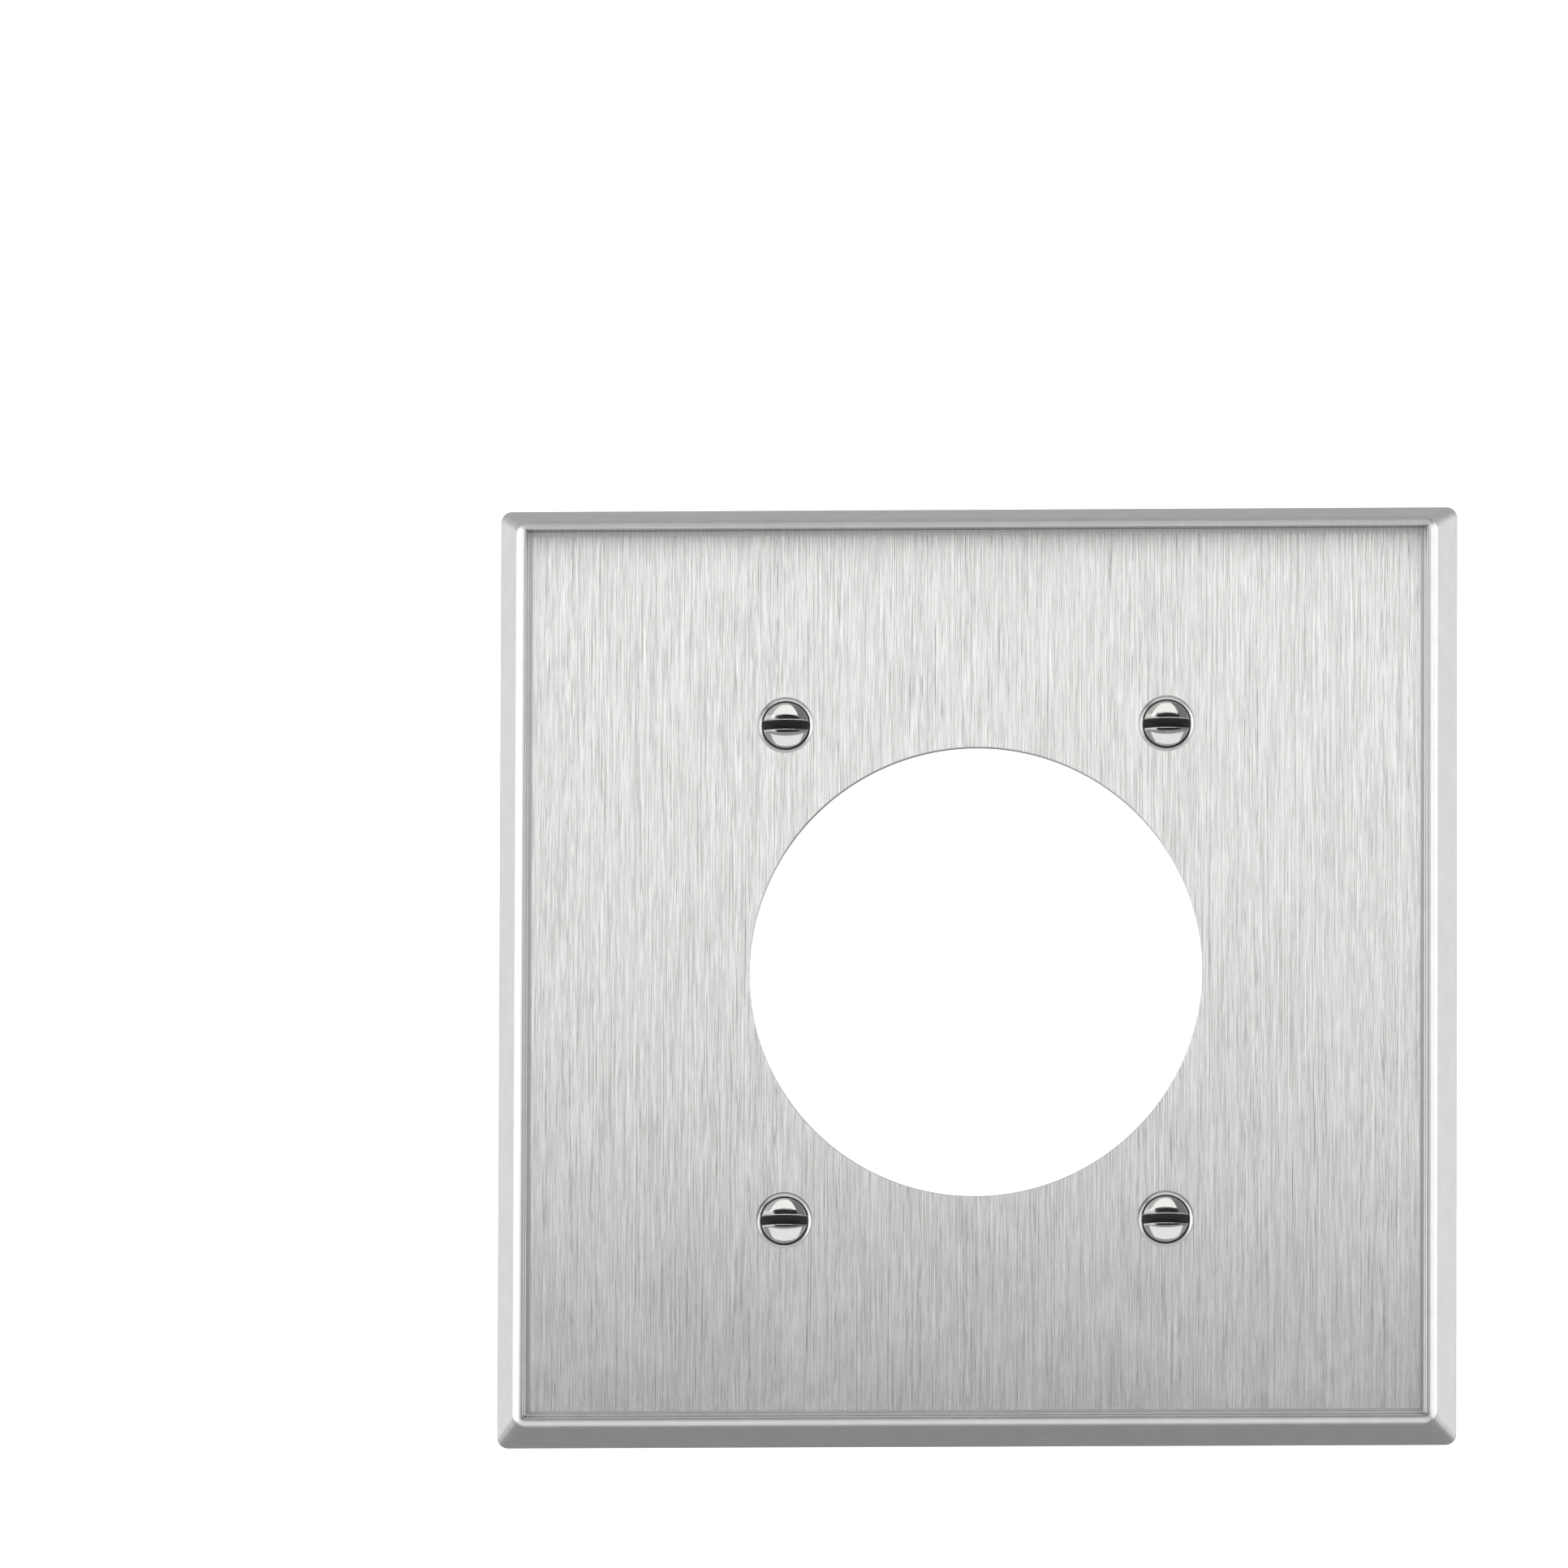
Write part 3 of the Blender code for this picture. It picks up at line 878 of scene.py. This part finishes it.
studio = {
    "floorHeight": -0.9,
    "floorFront": -2.8,           # the floor stops here, short of the dark gap round the camera
    "floorHalfWidth": 12.0,
    "floorColour": (0.72, 0.72, 0.72),
    "ground": 1.2,                # the white ground that the camera sees
    "paleBelow": 0.82,            # and its shade below the horizon
    # brightness of what the metal mirrors: behind the plate, round the camera, and to its sides
    "behind": 0.92,
    "gap": 0.03,
    "leftOfCamera": 0.78,
    "rightOfCamera": 0.2,
    "overhead": 0.52,
    "below": 0.42,
    # the directions, as x, y and z of a unit arrow, between which one of these fades into the next
    "leftFade": (-0.50, -0.64),
    "rightFade": (-0.06, 0.06),
    "rightDepthFade": (0.12, -0.1),
    "behindFade": (0.3, -0.1),
    "overheadFade": (0.46, 0.53),
    "overheadTilt": 0.25,
    "belowFade": (-0.42, -0.47),
    "horizonFade": (0.0, -0.1),
    # name: (brightness, centre, direction it shines in, width, height, what it lights)
    "panels": {
        "left": (1.2, (-0.9, -0.5, 0.12), (1, 0, 0), 1.7, 1.2, "plate"),
        "right": (1.25, (0.9, -0.5, 0.12), (-1, 0, 0), 1.7, 1.2, "plate"),
        "top": (0.56, (-0.14, -0.4, 1.343), (0, 1, 0), 1.02, 1.914, "screw"),
        "under": (0.62, (0.02, -0.4, -0.752), (0, 1, 0), 1.34, 1.096, "screw"),
        "low": (0.7, (-0.3, -0.73, -0.45), (0, 0, 1), 1.5, 1.23, "plate"),
        "brow": (0.42, (-0.03, -0.45, 0.50), (0, 1, 0), 1.1, 0.44, "plate"),
        "face": (0.90, (-0.03, -0.45, 0.151), (0, 1, 0), 1.1, 0.258, "plate"),
    },
}


def addPanel(name, brightness, centre, direction, width, height, target):
    light = bpy.data.lights.new(name + "_panel", "AREA")
    light.shape = "RECTANGLE"
    light.size, light.size_y = width, height
    light.energy = brightness * pi * width * height
    panel = bpy.data.objects.new(name + "_panel", light)
    scene.collection.objects.link(panel)
    panel.location = centre
    panel.rotation_euler = Vector(direction).to_track_quat("-Z", "Y").to_euler()
    panel.visible_camera = False
    lit = bpy.data.collections.new("lit_by_" + name + "_panel")
    for piece in scene.objects:
        if piece.name.endswith(target):
            lit.objects.link(piece)
    panel.light_linking.receiver_collection = lit


def mixed(tree, factor, first, second):
    inputs = {0: factor, 2: first, 3: second}
    return add(tree, "Mix", inputs, data_type="FLOAT").outputs[0]


def buildWorld():
    world = bpy.data.worlds.new("studio")
    scene.world = world
    world.use_nodes = True
    tree = world.node_tree
    axes = add(tree, "SeparateXYZ", {0: add(tree, "TexCoord").outputs["Generated"]}).outputs
    left = ramp(tree, axes["X"], *studio["leftFade"])
    right = ramp(tree, calc(tree, "ADD", axes["X"], axes["Y"]), *studio["rightFade"])
    front = mixed(tree, left, studio["gap"], studio["leftOfCamera"])
    level = mixed(tree, ramp(tree, axes["Y"], *studio["behindFade"]), studio["behind"], front)
    height = calc(tree, "MULTIPLY_ADD", axes["Y"], studio["overheadTilt"], axes["Z"])
    level = mixed(tree, ramp(tree, height, *studio["overheadFade"]), level, studio["overhead"])
    level = mixed(tree, ramp(tree, axes["Z"], *studio["belowFade"]), level, studio["below"])
    right = calc(tree, "MULTIPLY", right, ramp(tree, axes["Y"], *studio["rightDepthFade"]))
    level = mixed(tree, right, level, studio["rightOfCamera"])
    # the camera itself sees an even white ground, paler grey below the horizon
    horizon = ramp(tree, axes["Z"], *studio["horizonFade"])
    seen = mixed(tree, horizon, studio["ground"], studio["paleBelow"])
    level = mixed(tree, add(tree, "LightPath").outputs["Is Camera Ray"], level, seen)
    tree.links.new(level, tree.nodes["Background"].inputs["Color"])


def buildFloor():
    bm = bmesh.new()
    half, colour = studio["floorHalfWidth"], studio["floorColour"]
    place = Matrix.Translation((0, half + studio["floorFront"], studio["floorHeight"]))
    bmesh.ops.create_grid(bm, x_segments=8, y_segments=8, size=half, matrix=place)
    material, tree, sockets = newFinish("pale_floor", colour, Roughness=0.7)
    shade = calc(tree, "MULTIPLY_ADD", noise(tree, objectPoint(tree), 3.0, 3.0), 0.03, 0.985)
    feed(tree, sockets, tint(tree, colour, shade))
    # seen from underneath the floor is clear, so a low camera isn't blocked
    clear = add(tree, "BsdfTransparent").outputs[0]
    under = add(tree, "NewGeometry").outputs["Backfacing"]
    # the camera sees it at one even pale shade, which runs into the ground beyond
    even = add(tree, "Emission", {"Color": (studio["paleBelow"],) * 3 + (1,)}).outputs[0]
    seen = add(tree, "LightPath").outputs["Is Camera Ray"]
    lit = tree.nodes["Principled BSDF"].outputs[0]
    above = add(tree, "MixShader", {0: seen, 1: lit, 2: even}).outputs[0]
    both = add(tree, "MixShader", {0: under, 1: above, 2: clear})
    tree.links.new(both.outputs[0], tree.nodes["Material Output"].inputs["Surface"])
    floor = newPiece("studio_floor", bm, (material,))


buildWorld()
buildFloor()
for name, panel in studio["panels"].items():
    addPanel(name, *panel)
scene.view_settings.view_transform = "Standard"
print("studio built")


# camera: from a little below and to the right, with a very long lens

camera = {
    "below": 8.0,
    "right": 3.0,
    "roll": 0.2,                        # shares the slant between upright and level edges
    "distance": 4.73,
    "lens": 900.0,
    "plateRightOfMiddle": 0.02329,      # where the plate stands in the picture
    "plateBelowMiddle": 0.02290,
}


def buildCamera():
    data = bpy.data.cameras.new("camera")
    data.sensor_width = 36.0
    data.lens = camera["lens"]
    data.clip_start, data.clip_end = 0.05, 60.0
    eye = bpy.data.objects.new("camera", data)
    scene.collection.objects.link(eye)
    down, side = radians(camera["below"]), radians(camera["right"])
    outward = Vector((sin(side) * cos(down), -cos(side) * cos(down), -sin(down)))
    middle = Vector((0, (plateLow.y + plateHigh.y) / 2, 0))
    eye.location = middle + outward * camera["distance"]
    turned = (-outward).to_track_quat("-Z", "Y")
    rightward, upward = turned @ Vector((1, 0, 0)), turned @ Vector((0, 1, 0))
    target = middle - rightward * camera["plateRightOfMiddle"] + upward * camera["plateBelowMiddle"]
    eye.rotation_mode = "QUATERNION"
    look = (target - eye.location).to_track_quat("-Z", "Y")
    eye.rotation_quaternion = look @ Quaternion((0, 0, 1), radians(camera["roll"]))
    scene.camera = eye


buildCamera()
